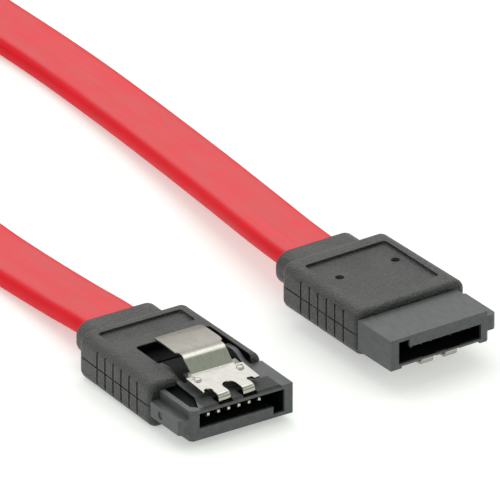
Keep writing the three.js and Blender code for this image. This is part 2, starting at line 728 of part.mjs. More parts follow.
function ribbonSolid(centres) {
  const half = RIBBON_WIDTH / 2;
  const thick = RIBBON_THICKNESS / 2;
  const shape = roundedRect(-half, half, -thick, thick, RIBBON_EDGE_RADIUS);
  const section = shape.getPoints(2).slice(0, -1);
  const rings = centres.map((centre, i) => {
    const before = centres[Math.max(i - 1, 0)];
    const after = centres[Math.min(i + 1, centres.length - 1)];
    const forward = after.clone().sub(before).normalize();
    const side = new THREE.Vector3(forward.y, -forward.x, 0).normalize();
    return ribbonRing(section, centre, forward, side);
  });
  const count = section.length;
  const positions = [];
  const index = [];
  rings.forEach((ring) => ring.forEach((p) => positions.push(p.x, p.y, p.z)));
  for (let r = 0; r + 1 < rings.length; r += 1) {
    for (let k = 0; k < count; k += 1) {
      const n = (k + 1) % count;
      const a = r * count + k;
      const b = r * count + n;
      index.push(a, b, b + count, a, b + count, a + count);
    }
  }
  for (let k = 1; k + 1 < count; k += 1) {
    index.push(0, k + 1, k);
    const last = (rings.length - 1) * count;
    index.push(last, last + k, last + k + 1);
  }
  const geometry = new THREE.BufferGeometry();
  geometry.setAttribute('position', new THREE.BufferAttribute(new Float32Array(positions), 3));
  geometry.setIndex(index);
  let solid = toSolid(geometry);
  if (solid.volume() < 0) {
    geometry.setIndex(index.map((_, i) => index[i - (i % 3) + (2 - (i % 3))]));
    solid = toSolid(geometry);
  }
  return solid;
}

function routeCentres(points, steps) {
  const curve = new THREE.CatmullRomCurve3(
    points.map(([x, y, z]) => new THREE.Vector3(x, y, z)),
    false,
    'centripetal',
  );
  return curve.getSpacedPoints(steps);
}

const FLOOR_LEVEL = RIBBON_THICKNESS / 2 + 0.1;
const HANK_BOTTOM = TIE_THICKNESS + TIE_CLEARANCE;
const HANK_LOW_LEVEL = HANK_BOTTOM + RIBBON_THICKNESS / 2;
const HANK_HIGH_LEVEL = HANK_BOTTOM + HANK_HEIGHT - RIBBON_THICKNESS / 2;

function ribbonRouteA() {
  const z = PARTING_Z - BOOT_BOTTOM;
  const start = BLOCK_END + END_GAP;
  return [
    [RIBBON_X, start, z],
    [RIBBON_X, COLLAR_END, z],
    [-0.4, 28, z - 0.25],
    [-0.2, 33, FLOOR_LEVEL + 0.75],
    [-0.1, 43, FLOOR_LEVEL + 0.1],
    [-0.2, 52, FLOOR_LEVEL],
    [0.3, 68, FLOOR_LEVEL],
    [4.0, 97, FLOOR_LEVEL],
    [11.0, 124, FLOOR_LEVEL],
    [HANK_X, 142, FLOOR_LEVEL + 0.2],
    [HANK_X, HANK_FRONT - END_GAP, HANK_LOW_LEVEL],
  ];
}

function ribbonRouteB() {
  const frame = plugFrameB();
  const start = new THREE.Vector3(RIBBON_X, BLOCK_END + END_GAP, PARTING_Z).applyMatrix4(frame);
  const exit = new THREE.Vector3(RIBBON_X, COLLAR_END, PARTING_Z).applyMatrix4(frame);
  return [
    [start.x, start.y, start.z],
    [exit.x, exit.y, exit.z],
    [24.6, 30.2, exit.z - 0.4],
    [26.2, 42, FLOOR_LEVEL + 2.1],
    [27.8, 54, FLOOR_LEVEL + 1.15],
    [29.15, 68.6, FLOOR_LEVEL + 0.4],
    [29.8, 83, FLOOR_LEVEL],
    [28.9, 99, FLOOR_LEVEL + 0.4],
    [26.0, 113, FLOOR_LEVEL + 2.4],
    [20.5, 128, FLOOR_LEVEL + 6.2],
    [HANK_X + 0.6, 142, HANK_HIGH_LEVEL - 0.7],
    [HANK_X, HANK_FRONT - END_GAP, HANK_HIGH_LEVEL],
  ];
}

// Hank: the outer shape of the spare length folded four times, and the tie round it

function makeHank() {
  const outline = roundedRect(
    HANK_FRONT,
    HANK_FRONT + HANK_RUN,
    HANK_BOTTOM,
    HANK_BOTTOM + HANK_HEIGHT,
    HANK_CORNER,
  );
  const points = outline.getPoints(6).slice(0, -1).map((p) => [p.x, p.y]);
  return acrossX(points, HANK_X - RIBBON_WIDTH / 2, HANK_X + RIBBON_WIDTH / 2);
}

function makeTie() {
  const half = RIBBON_WIDTH / 2 + TIE_CLEARANCE;
  const low = HANK_BOTTOM - TIE_CLEARANCE;
  const high = HANK_BOTTOM + HANK_HEIGHT + TIE_CLEARANCE;
  const t = TIE_THICKNESS;
  const middle = HANK_FRONT + HANK_RUN / 2;
  const outside = roundedRect(HANK_X - half - t, HANK_X + half + t, low - t, high + t, t);
  const band = toSolid(alongY(outside, middle - TIE_WIDTH / 2, middle + TIE_WIDTH / 2, { segments: 4 }));
  return band.subtract(boxBetween(HANK_X - half, HANK_X + half, middle - 4, middle + 4, low, high));
}

// Assembly

const group = new THREE.Group();
group.name = 'data_cable';

function addMesh(name, geometry, slot) {
  const mesh = new THREE.Mesh(geometry, new THREE.MeshStandardMaterial({ ...MATERIALS[slot], name: slot }));
  mesh.name = name;
  geometry.translate(-ORIGIN_X, -ORIGIN_Y, 0);
  group.add(mesh);
}

function addPlug(prefix, frame) {
  for (const [name, solid, slot] of plugPieces()) {
    const geometry = toGeometry(solid);
    geometry.applyMatrix4(frame);
    addMesh(`${prefix}_${name}`, geometry, slot);
  }
}

addPlug('plug_a', plugFrameA());
addPlug('plug_b', plugFrameB());
addMesh('ribbon_a', toGeometry(ribbonSolid(routeCentres(ribbonRouteA(), 34))), 'ribbon');
addMesh('ribbon_b', toGeometry(ribbonSolid(routeCentres(ribbonRouteB(), 36))), 'ribbon');
addMesh('ribbon_hank', toGeometry(makeHank()), 'ribbon');
addMesh('hank_tie', toGeometry(makeTie()), 'tie');

export default group;
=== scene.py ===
import math

import bmesh
import bpy
from mathutils import Matrix, Vector


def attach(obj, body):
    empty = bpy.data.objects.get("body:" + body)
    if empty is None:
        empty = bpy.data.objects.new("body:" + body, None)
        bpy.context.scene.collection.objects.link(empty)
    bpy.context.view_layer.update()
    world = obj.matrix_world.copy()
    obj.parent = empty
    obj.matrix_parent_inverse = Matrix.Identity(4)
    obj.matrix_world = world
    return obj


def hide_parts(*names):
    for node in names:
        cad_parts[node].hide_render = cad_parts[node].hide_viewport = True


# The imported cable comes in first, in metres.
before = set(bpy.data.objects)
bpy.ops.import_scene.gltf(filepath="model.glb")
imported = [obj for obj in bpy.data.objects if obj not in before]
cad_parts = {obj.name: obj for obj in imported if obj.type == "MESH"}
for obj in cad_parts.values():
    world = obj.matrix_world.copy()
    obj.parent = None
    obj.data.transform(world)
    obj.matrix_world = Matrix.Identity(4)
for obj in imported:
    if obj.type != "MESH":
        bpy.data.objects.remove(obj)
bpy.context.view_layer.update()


# Camera: a long lens far off, to the left of the plugs and above them,
# as the photograph was taken. It looks down on the table at 27 degrees.
CAMERA_PLACE = (-1.170431, -1.799701, 1.100308)
CAMERA_LOOK = Vector((0.48531898, 0.7486342, -0.45167724))
CAMERA_REACH = 20
LENS_LENGTH = 1650
SENSOR_WIDTH = 36


def set_out(name, data):
    """A new object in the scene, from its mesh, camera or lamp data."""
    made = bpy.data.objects.new(name, data)
    bpy.context.scene.collection.objects.link(made)
    return made


camera_data = bpy.data.cameras.new("camera")
camera_data.lens = LENS_LENGTH
camera_data.sensor_width = SENSOR_WIDTH
camera_data.clip_end = CAMERA_REACH
camera = set_out("camera", camera_data)
camera.location = CAMERA_PLACE
camera.rotation_euler = CAMERA_LOOK.to_track_quat("-Z", "Y").to_euler()
bpy.context.scene.camera = camera


# Ribbon: one length of flat red PVC, extruded over two shielded pairs of wires, so that its broad
# faces carry two faint swells. They have a pale bloom, and the round edges stay clear. It runs from
# inside plug A to inside plug B, and its spare length lies folded in four runs behind the view.
MM = 0.001
ORIGIN = Vector((12.156, 11.432, 0))
RIBBON_WIDTH = 7.2
RIBBON_THICKNESS = 2.0
RIBBON_EDGE = 0.85
RIBBON_SWELL = 0.05
RIBBON_STEP = 1.5
RIBBON_SIDE_SHIFT = -0.45
RIBBON_MIDDLE = 1.83
PATH_PARTS = 24
EDGE_PARTS = 5
FACE_PARTS = 12
PLUG_A_LIFT = 0.85
PLUG_B_PLACE = Vector((24.36, -0.73, 6.32))
PLUG_B_TURN = math.radians(1.96)
WIRES_END = 18.9
COLLAR_REAR = 23.8
ON_TABLE = 1.1
HANK_MIDDLE = 14.5
HANK_FRONT = 150.0
HANK_LENGTH = 62.0
HANK_LOWEST = 1.72
HANK_PITCH = 3.0
HANK_RUNS = 4
HANK_STEP = 1.8
HANK_TOP = HANK_LOWEST + (HANK_RUNS - 1) * HANK_PITCH
FOLD_PARTS = 8
STREAK_SHARE = 0.45


def from_plug_b(x, y, z):
    return PLUG_B_PLACE + Matrix.Rotation(PLUG_B_TURN, 3, "Z") @ Vector((-x, y, -z))


def smooth_path(points, step):
    """Evenly spaced points along a smooth line through the given ones."""
    fine = []
    for i in range(len(points) - 1):
        before = points[i - 1] if i else points[0] * 2 - points[1]
        a, b = points[i], points[i + 1]
        after = points[i + 2] if i + 2 < len(points) else b * 2 - a
        for k in range(PATH_PARTS):
            t = k / PATH_PARTS
            fine.append(
                (
                    a * 2
                    + (b - before) * t
                    + (before * 2 - a * 5 + b * 4 - after) * t * t
                    + (a * 3 - before - b * 3 + after) * t**3
                )
                / 2
            )
    fine.append(points[-1])
    even = [fine[0]]
    left = step
    for here, there in zip(fine, fine[1:]):
        while (there - here).length >= left:
            here = here + (there - here).normalized() * left
            even.append(here)
            left = step
        left -= (there - here).length
    if (fine[-1] - even[-1]).length < step / 3:
        even.pop()
    even.append(fine[-1])
    return even


def ribbon_from_plug_a():
    z = RIBBON_MIDDLE + PLUG_A_LIFT
    route = [
        (RIBBON_SIDE_SHIFT, WIRES_END, z),
        (RIBBON_SIDE_SHIFT, COLLAR_REAR, z),
        (-0.4, 28, z - 0.25),
        (-0.2, 33, ON_TABLE + 0.75),
        (-0.1, 43, ON_TABLE + 0.1),
        (-0.2, 52, ON_TABLE),
        (0.3, 68, ON_TABLE),
        (4.0, 97, ON_TABLE),
        (11.0, 124, ON_TABLE),
        (HANK_MIDDLE, 142, ON_TABLE + 0.2),
        (HANK_MIDDLE, HANK_FRONT, HANK_LOWEST),
    ]
    return [Vector(p) for p in route]


def ribbon_from_plug_b():
    start = from_plug_b(RIBBON_SIDE_SHIFT, WIRES_END, RIBBON_MIDDLE)
    leaves = from_plug_b(RIBBON_SIDE_SHIFT, COLLAR_REAR, RIBBON_MIDDLE)
    route = [
        (24.6, 30.2, leaves.z - 0.4),
        (26.2, 42, ON_TABLE + 2.1),
        (27.8, 54, ON_TABLE + 1.15),
        (29.15, 68.6, ON_TABLE + 0.4),
        (29.8, 83, ON_TABLE),
        (28.9, 99, ON_TABLE + 0.4),
        (26.0, 113, ON_TABLE + 2.4),
        (20.5, 128, ON_TABLE + 6.2),
        (HANK_MIDDLE + 0.6, 142, HANK_TOP - 0.7),
        (HANK_MIDDLE, HANK_FRONT, HANK_TOP),
    ]
    return [start, leaves] + [Vector(p) for p in route]


def folded_runs():
    """The four flat runs of the hank, each joined to the next by a half turn."""
    bend = HANK_PITCH / 2
    room = bend + RIBBON_THICKNESS / 2
    near, far = HANK_FRONT + room, HANK_FRONT + HANK_LENGTH - room
    points = []
    for run in range(HANK_RUNS):
        z = HANK_LOWEST + run * HANK_PITCH
        away = run % 2 == 0
        first = near if away else far
        last = far if away else near
        if run == 0:
            first = HANK_FRONT
        if run == HANK_RUNS - 1:
            last = HANK_FRONT
        count = round(abs(last - first) / HANK_STEP)
        for k in range(1, count + 1):
            points.append(Vector((HANK_MIDDLE, first + (last - first) * k / count, z)))
        if run < HANK_RUNS - 1:
            way = 1 if away else -1
            for k in range(1, FOLD_PARTS):
                turn = math.pi * k / FOLD_PARTS
                y = last + way * bend * math.sin(turn)
                points.append(Vector((HANK_MIDDLE, y, z + bend * (1 - math.cos(turn)))))
    return points


def ribbon_outline():
    """The ribbon's section: round edges, and a swell over each pair of wires."""
    half, thick, edge = RIBBON_WIDTH / 2, RIBBON_THICKNESS / 2, RIBBON_EDGE
    corners = ((half - edge, thick - edge, 0), (edge - half, thick - edge, 90))
    corners += ((edge - half, edge - thick, 180), (half - edge, edge - thick, 270))
    outline = []
    for i, (x, z, start) in enumerate(corners):
        for k in range(EDGE_PARTS + 1):
            turn = math.radians(start + 90 * k / EDGE_PARTS)
            outline.append((x + edge * math.cos(turn), z + edge * math.sin(turn)))
        if i in (0, 2):
            way = -1 if i == 0 else 1
            flat = half - edge
            for k in range(1, FACE_PARTS):
                x_here = way * (-flat + 2 * flat * k / FACE_PARTS)
                dip = RIBBON_SWELL * (0.5 + 0.5 * math.cos(2 * math.pi * x_here / flat))
                outline.append((x_here, (thick - dip) * -way))
    return outline


def swept_ribbon(line):
    """The ribbon's section carried along its line, with its place across and along it."""
    outline = ribbon_outline()
    count = len(outline)
    build = bmesh.new()
    place = build.loops.layers.uv.new("across_and_along")
    rings, runs, run = [], [], 0.0
    for i, centre in enumerate(line):
        ahead = (line[min(i + 1, len(line) - 1)] - line[max(i - 1, 0)]).normalized()
        side = Vector((1, 0, 0))
        side = (side - ahead * side.dot(ahead)).normalized()
        up = side.cross(ahead)
        rings.append([build.verts.new((centre + side * x + up * z - ORIGIN) * MM) for x, z in outline])
        run += (centre - line[i - 1]).length if i else 0
        runs.append(run)
    for i in range(len(rings) - 1):
        for k in range(count):
            n = (k + 1) % count
            face = build.faces.new((rings[i][k], rings[i + 1][k], rings[i + 1][n], rings[i][n]))
            face.smooth = True
            for loop, (ring, step) in zip(face.loops, ((i, k), (i + 1, k), (i + 1, n), (i, n))):
                loop[place].uv = (outline[step][0] / RIBBON_WIDTH + 0.5, runs[ring] / RIBBON_WIDTH)
    build.faces.new(rings[0])
    build.faces.new(list(reversed(rings[-1])))
    bmesh.ops.recalc_face_normals(build, faces=build.faces)
    mesh = bpy.data.meshes.new("ribbon")
    build.to_mesh(mesh)
    build.free()
    return set_out("ribbon", mesh)


def written(red, green, blue):
    """A colour as a paint chart gives it, turned into light values."""
    share = [v / 255 for v in (red, green, blue)]
    return (*[v / 12.92 if v <= 0.04045 else ((v + 0.055) / 1.055) ** 2.4 for v in share], 1)


def grey(level):
    return (level, level, level, 1)


def finish_named(name, roughness, metallic=0.0):
    """A fresh surface finish, with its nodes, links and shader."""
    finish = bpy.data.materials.new(name)
    finish.use_nodes = True
    nodes, links = finish.node_tree.nodes, finish.node_tree.links
    shader = nodes["Principled BSDF"]
    shader.inputs["Roughness"].default_value = roughness
    shader.inputs["Metallic"].default_value = metallic
    return finish, nodes, links, shader


def stretched(nodes, links, source, scale):
    mapping = nodes.new("ShaderNodeMapping")
    mapping.inputs["Scale"].default_value = scale
    links.new(source, mapping.inputs["Vector"])
    return mapping.outputs["Vector"]


def noise(nodes, links, vector, scale, detail=3.0):
    grain = nodes.new("ShaderNodeTexNoise")
    grain.inputs["Scale"].default_value = scale
    grain.inputs["Detail"].default_value = detail
    links.new(vector, grain.inputs["Vector"])
    return grain.outputs["Fac"]


def ramp(nodes, links, value, stops):
    band = nodes.new("ShaderNodeValToRGB")
    elements = band.color_ramp.elements
    elements.remove(elements[1])
    elements[0].position, elements[0].color = stops[0]
    for at, colour in stops[1:]:
        elements.new(at).color = colour
    links.new(value, band.inputs["Fac"])
    return band.outputs["Color"]


def bump(nodes, links, height, strength, distance, under=None):
    raised = nodes.new("ShaderNodeBump")
    raised.inputs["Strength"].default_value = strength
    raised.inputs["Distance"].default_value = distance
    links.new(height, raised.inputs["Height"])
    if under is not None:
        links.new(under, raised.inputs["Normal"])
    return raised.outputs["Normal"]


def ribbon_pvc():
    finish, nodes, links, shader = finish_named("ribbon_pvc", 0.4)
    shader.inputs["Subsurface Weight"].default_value = 0.1
    shader.inputs["Subsurface Radius"].default_value = (1.0, 0.12, 0.1)
    shader.inputs["Subsurface Scale"].default_value = 0.0008
    uv = nodes.new("ShaderNodeUVMap")
    uv.uv_map = "across_and_along"
    across = nodes.new("ShaderNodeSeparateXYZ")
    links.new(uv.outputs["UV"], across.inputs[0])
    clear, bloomed = grey(0.12), grey(0.56)
    faces = ((0.07, clear), (0.15, bloomed), (0.85, bloomed), (0.93, clear))
    links.new(ramp(nodes, links, across.outputs["X"], faces), shader.inputs["Specular IOR Level"])
    streaks = noise(nodes, links, stretched(nodes, links, uv.outputs["UV"], (9, 0.12, 1)), 2.2, 2)
    clouds = noise(nodes, links, stretched(nodes, links, uv.outputs["UV"], (2.0, 0.7, 1)), 1.6, 4)
    mixed = nodes.new("ShaderNodeMath")
    mixed.operation = "MULTIPLY_ADD"
    mixed.inputs[1].default_value = STREAK_SHARE
    links.new(streaks, mixed.inputs[0])
    cloud_share = nodes.new("ShaderNodeMath")
    cloud_share.operation = "MULTIPLY"
    cloud_share.inputs[1].default_value = 1 - STREAK_SHARE
    links.new(clouds, cloud_share.inputs[0])
    links.new(cloud_share.outputs[0], mixed.inputs[2])
    stops = ((0.32, written(198, 0, 20)), (0.68, written(216, 5, 32)))
    links.new(ramp(nodes, links, mixed.outputs[0], stops), shader.inputs["Base Color"])
    rough = ramp(nodes, links, clouds, ((0.3, grey(0.34)), (0.7, grey(0.5))))
    links.new(rough, shader.inputs["Roughness"])
    skin = noise(nodes, links, stretched(nodes, links, uv.outputs["UV"], (22, 9, 1)), 4.0, 3)
    normal = bump(nodes, links, skin, 0.12, 0.00003)
    normal = bump(nodes, links, streaks, 0.25, 0.00006, normal)
    links.new(normal, shader.inputs["Normal"])
    return finish


ribbon_line = smooth_path(ribbon_from_plug_a(), RIBBON_STEP)
ribbon_line += folded_runs()
ribbon_line += list(reversed(smooth_path(ribbon_from_plug_b(), RIBBON_STEP)))[1:]
ribbon = swept_ribbon(ribbon_line)
ribbon.data.materials.append(ribbon_pvc())
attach(ribbon, "cable")
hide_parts("ribbon_a", "ribbon_b", "ribbon_hank")


# Tie: a band of black moulded rubber, slipped over the middle of the hank.
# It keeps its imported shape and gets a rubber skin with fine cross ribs.
TIE_RIBS = 420
TIE_GRAIN = 5000


def place_on_table(nodes):
    return nodes.new("ShaderNodeTexCoord").outputs["Object"]


def tie_rubber():
    finish, nodes, links, shader = finish_named("tie_rubber", 0.62)
    shader.inputs["Base Color"].default_value = written(38, 38, 39)
    place = place_on_table(nodes)
    ribs = nodes.new("ShaderNodeTexWave")
    ribs.bands_direction = "Y"
    ribs.inputs["Scale"].default_value = TIE_RIBS
    links.new(place, ribs.inputs["Vector"])
    normal = bump(nodes, links, noise(nodes, links, place, TIE_GRAIN), 0.15, 0.00004)
    links.new(bump(nodes, links, ribs.outputs["Fac"], 0.5, 0.00012, normal), shader.inputs["Normal"])
    return finish


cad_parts["hank_tie"].material_slots[0].material = tie_rubber()


# Boots: soft black PVC, moulded over the joint of shell and ribbon with its collar in one.
# The mould leaves a fine leathery grain, which catches the light on the rounded edges.
# The latch window is a well in it, open to the top; its walls are painted near black with little gloss, as
# painted shade.
BOOT_EDGE = 0.07
BOOT_GLOSS = 0.62
BOOT_GRAIN = 4.2
BOOT_WELL = ((-4.22, 5.17), (6.3, 14.27), (3.3, 4.4))
# Painted shade: the low gloss used where near-black shade is painted into the boot well, the shell's sunk
# channel and the mouth.
PAINTED_SHADE_GLOSS = 0.05
WELD_REACH = 2e-7
FLAT_WITHIN = math.radians(1.5)
SHARP_FROM = math.radians(32)
FLAT_WEIGHT = 60
PLUG_B_STAND = Matrix.Translation(PLUG_B_PLACE) @ Matrix.Rotation(PLUG_B_TURN, 4, "Z")
TO_PLUG = {
    "a": Matrix.Translation((0, 0, -PLUG_A_LIFT)),
    "b": (PLUG_B_STAND @ Matrix.Rotation(math.pi, 4, "Y")).inverted(),
}
FROM_PLUG = {side: turned.inverted() for side, turned in TO_PLUG.items()}


def into_plug(side, point):
    """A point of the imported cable, as the plug's own millimetres give it."""
    return TO_PLUG[side] @ (point / MM + ORIGIN)


def out_of_plug(side, point):
    return (FROM_PLUG[side] @ point - ORIGIN) * MM


def softened(node, side, edge, segments, body, reshape=None):
    """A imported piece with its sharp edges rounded, and its place in the plug kept for its grain."""
    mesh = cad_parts[node].data.copy()
    build = bmesh.new()
    build.from_mesh(mesh)
    if reshape:
        for vertex in build.verts:
            vertex.co = out_of_plug(side, reshape(into_plug(side, vertex.co)))
    bmesh.ops.remove_doubles(build, verts=build.verts, dist=WELD_REACH)
    bmesh.ops.dissolve_limit(build, angle_limit=FLAT_WITHIN, verts=build.verts, edges=build.edges)
    for face in build.faces:
        face.smooth = True
    build.to_mesh(mesh)
    build.free()
    place = mesh.attributes.new("plug_place", "FLOAT_VECTOR", "POINT")
    for vertex, kept in zip(mesh.vertices, place.data):
        kept.vector = into_plug(side, vertex.co)
    made = set_out(f"dressed_{node}", mesh)
    rounding = made.modifiers.new("rounded_edges", "BEVEL")
    rounding.width = edge * MM
    rounding.segments = segments
    rounding.limit_method = "ANGLE"
    rounding.angle_limit = SHARP_FROM
    rounding.use_clamp_overlap = True
    flat = made.modifiers.new("flat_faces", "WEIGHTED_NORMAL")
    flat.keep_sharp = False
    flat.weight = FLAT_WEIGHT
    mesh.materials.clear()
    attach(made, body)
    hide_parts(node)
    return made


def place_in_plug(nodes):
    place = nodes.new("ShaderNodeAttribute")
    place.attribute_name = "plug_place"
    return place.outputs["Vector"]


def joined(nodes, links, first, second, operation):
    both = nodes.new("ShaderNodeMath")
    both.operation = operation
    links.new(first, both.inputs[0])
    links.new(second, both.inputs[1])
    return both.outputs[0]


def inside(nodes, links, place, sides, soft):
    """One inside a box of the plug, nought outside it, with a soft rim."""
    split = nodes.new("ShaderNodeSeparateXYZ")
    links.new(place, split.inputs[0])
    share = None
    for axis, (low, high) in zip("XYZ", sides):
        for start, end in ((low - soft, low + soft), (high + soft, high - soft)):
            step = nodes.new("ShaderNodeMapRange")
            step.inputs["From Min"].default_value = start
            step.inputs["From Max"].default_value = end
            links.new(split.outputs[axis], step.inputs["Value"])
            within = step.outputs[0]
            share = joined(nodes, links, share, within, "MULTIPLY") if share else within
    return share


def mixed_colour(nodes, links, share, plain, changed):
    colour = nodes.new("ShaderNodeMix")
    colour.data_type = "RGBA"
    links.new(share, colour.inputs["Factor"])
    links.new(plain, colour.inputs[6])
    links.new(changed, colour.inputs[7])
    return colour.outputs[2]


def eased(nodes, links, share, level, full_level):
    """A value that goes from one level to the other as the share rises to one."""
    between = nodes.new("ShaderNodeMapRange")
    between.inputs["To Min"].default_value = level
    between.inputs["To Max"].default_value = full_level
    links.new(share, between.inputs["Value"])
    return between.outputs[0]


def boot_pvc():
    finish, nodes, links, shader = finish_named("boot_pvc", 0.5)
    place = place_in_plug(nodes)
    clouds = noise(nodes, links, place, 0.35, 3)
    plain = ramp(nodes, links, clouds, ((0.35, written(36, 37, 38)), (0.7, written(50, 51, 52))))
    # Painted shade: inside the latch well the colour turns near black and the gloss drops.
    painted_shade = ramp(nodes, links, clouds, ((0.35, written(9, 9, 10)), (0.7, written(13, 13, 14))))
    well = inside(nodes, links, place, BOOT_WELL, soft=0.04)
    links.new(mixed_colour(nodes, links, well, plain, painted_shade), shader.inputs["Base Color"])
    links.new(eased(nodes, links, well, BOOT_GLOSS, PAINTED_SHADE_GLOSS), shader.inputs["Specular IOR Level"])
    grain = noise(nodes, links, place, BOOT_GRAIN, 5)
    rough = ramp(nodes, links, grain, ((0.35, grey(0.34)), (0.65, grey(0.52))))
    links.new(rough, shader.inputs["Roughness"])
    pores = nodes.new("ShaderNodeTexVoronoi")
    pores.inputs["Scale"].default_value = BOOT_GRAIN
    links.new(place, pores.inputs["Vector"])
    normal = bump(nodes, links, grain, 1.0, 0.00018)
    links.new(bump(nodes, links, pores.outputs["Distance"], 0.6, 0.0001, normal), shader.inputs["Normal"])
    return finish


boot_finish = boot_pvc()
for side in TO_PLUG:
    boot = softened(f"plug_{side}_boot", side, BOOT_EDGE, 2, "cable")
    boot.data.materials.append(boot_finish)


# Shells: grey-black glass-filled plastic, injection moulded, with the keyed mouth in front.
# The platform under the latch fingers is spark-eroded in the mould, so it is darker and rougher.
# Near-black sheets close the finger pockets toward the mouth, as painted shade; the shell itself is open
# there.
SHELL_EDGE = 0.05
SHELL_GLOSS = 0.42
SHELL_ROUGHNESS = 0.38
PLATFORM_ROUGHNESS = 0.62
PLATFORM = ((-4.6, 4.9), (0.1, 2.7), (3.12, 3.74))
# Painted shade: the sunk channel and the inside of the mouth are painted near black with little gloss.
SUNK = ((-5.9, 5.6), (0.6, 14.3), (3.08, 3.45))
MOUTH = ((-5.4, 5.44), (0.3, 6), (0.3, 3.1))
SHELL_SIDE = 6.35
CORNER = 0.35
CORNER_REACH = 0.03
POCKET_MIDDLES = (-1.805, 1.245)
POCKET_WIDTH = 1.85
POCKET_FRONT = 0.1
POCKET_BACK = 1.74
POCKET_FLOOR = 3.12
POCKET_SHADE_THICKNESS = 0.12


def shell_plastic():
    finish, nodes, links, shader = finish_named("shell_plastic", 0.42)
    place = place_in_plug(nodes)
    patch = inside(nodes, links, place, PLATFORM, soft=0.08)
    # Painted shade: near black in the sunk channel and inside the mouth, where shade falls.
    below = inside(nodes, links, place, SUNK, soft=0.03)
    within = inside(nodes, links, place, MOUTH, soft=0.06)
    sunk = joined(nodes, links, below, within, "MAXIMUM")
    flow = noise(nodes, links, stretched(nodes, links, place, (1.6, 0.5, 1.6)), 1.1, 4)
    plain = ramp(nodes, links, flow, ((0.3, written(62, 64, 66)), (0.7, written(76, 78, 80))))
    speck = noise(nodes, links, place, 6.5, 3)
    dark = ramp(nodes, links, speck, ((0.35, written(24, 24, 26)), (0.7, written(58, 58, 60))))
    painted_shade = ramp(nodes, links, speck, ((0.35, written(9, 9, 10)), (0.7, written(22, 23, 24))))
    colour = mixed_colour(nodes, links, patch, plain, dark)
    links.new(mixed_colour(nodes, links, sunk, colour, painted_shade), shader.inputs["Base Color"])
    links.new(eased(nodes, links, sunk, SHELL_GLOSS, PAINTED_SHADE_GLOSS), shader.inputs["Specular IOR Level"])
    rough = eased(nodes, links, patch, SHELL_ROUGHNESS, PLATFORM_ROUGHNESS)
    links.new(rough, shader.inputs["Roughness"])
    links.new(bump(nodes, links, noise(nodes, links, place, 9.0, 3), 0.2, 0.00002), shader.inputs["Normal"])
    return finish


# Painted shade: near-black plastic with little gloss, for the sheets that close the finger pockets.
def pocket_shade_plastic():
    finish, nodes, links, shader = finish_named("pocket_shade_plastic", 0.7)
    shader.inputs["Specular IOR Level"].default_value = 0.1
    speck = noise(nodes, links, place_on_table(nodes), 5000, 3)
    colour = ramp(nodes, links, speck, ((0.35, written(7, 7, 8)), (0.7, written(13, 13, 14))))
    links.new(colour, shader.inputs["Base Color"])
    return finish


# Painted shade: thin near-black boxes set in the finger pockets, which are open in the shell.
def pocket_shade_sheets(side):
    size = Vector((POCKET_WIDTH, POCKET_BACK - POCKET_FRONT, POCKET_SHADE_THICKNESS))
    build = bmesh.new()
    for x in POCKET_MIDDLES:
        centre = Vector((x, (POCKET_FRONT + POCKET_BACK) / 2, POCKET_FLOOR))
        for vertex in bmesh.ops.create_cube(build, size=1)["verts"]:
            vertex.co = out_of_plug(side, vertex.co * size + centre)
    mesh = bpy.data.meshes.new(f"pocket_shade_sheets_{side}")
    build.to_mesh(mesh)
    build.free()
    made = set_out(f"plug_{side}_pocket_shade_sheets", mesh)
    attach(made, "cable")
    return made


def square_corner(place):
    """The front corner away from the guide rib is left square by the mould."""
    on_side = place.x > SHELL_SIDE - CORNER_REACH and abs(place.y - CORNER) < CORNER_REACH
    on_front = place.y < CORNER_REACH and abs(place.x - SHELL_SIDE + CORNER) < CORNER_REACH
    return Vector((SHELL_SIDE, 0, place.z)) if on_side or on_front else place


shell_finish = shell_plastic()
pocket_shade_finish = pocket_shade_plastic()
for side in TO_PLUG:
    floors = pocket_shade_sheets(side)
    floors.data.materials.append(pocket_shade_finish)
    shell = softened(f"plug_{side}_shell", side, SHELL_EDGE, 2, "cable", square_corner)
    shell.data.materials.append(shell_finish)


# Latches: one strip of bright spring steel each, stamped, bent and pressed with two bumps.
# The rolling mill leaves faint lines along the strip, and the thumb tab is painted a darker grey as painted
# shade.
# Each fold shift is a place along the strip, then how far the strip moves back and up there.
LATCH_EDGE = 0.045
FOLD_SHIFTS = (
    (5.8, 0, 0),
    (6.5, 0.66, 0.24),
    (6.75, 0.68, 0.24),
    (8.15, 0.15, -0.03),
    (9.05, 0, -0.07),
    (11.0, 0, -0.06),
    (12.4, 0, 0),
)
SHADED_TAB = ((-4, 4), (7.35, 13), (4.5, 7))


def latch_steel():
    finish, nodes, links, shader = finish_named("latch_steel", 0.22, 1.0)
    place = place_in_plug(nodes)
    lines = noise(nodes, links, stretched(nodes, links, place, (9, 0.4, 0.4)), 2.0, 3)
    bright = ramp(nodes, links, lines, ((0.3, written(164, 162, 156)), (0.7, written(180, 178, 172))))
    tab_shade = ramp(nodes, links, lines, ((0.3, written(128, 125, 118)), (0.7, written(142, 139, 132))))
    # Painted shade: the thumb tab gets a darker grey than the rest of the strip.
    tab = inside(nodes, links, place, SHADED_TAB, soft=0.12)
    links.new(mixed_colour(nodes, links, tab, bright, tab_shade), shader.inputs["Base Color"])
    smear = noise(nodes, links, place, 1.2, 3)
    rough = ramp(nodes, links, smear, ((0.3, grey(0.16)), (0.7, grey(0.25))))
    links.new(rough, shader.inputs["Roughness"])
    links.new(bump(nodes, links, lines, 0.08, 0.00002), shader.inputs["Normal"])
    return finish


def smooth_fold(place):
    """The strip rises in a softer fold, which runs on into a nearly flat thumb tab."""
    for (here, *moved), (there, *moved_there) in zip(FOLD_SHIFTS, FOLD_SHIFTS[1:]):
        if here <= place.y <= there:
            share = (place.y - here) / (there - here)
            back, up = (a + (b - a) * share for a, b in zip(moved, moved_there))
            return Vector((place.x, place.y + back, place.z + up))
    return place


latch_finish = latch_steel()
for side in TO_PLUG:
    latch = softened(f"plug_{side}_latch", side, LATCH_EDGE, 2, f"latch_{side}", smooth_fold)
    latch.data.materials.append(latch_finish)


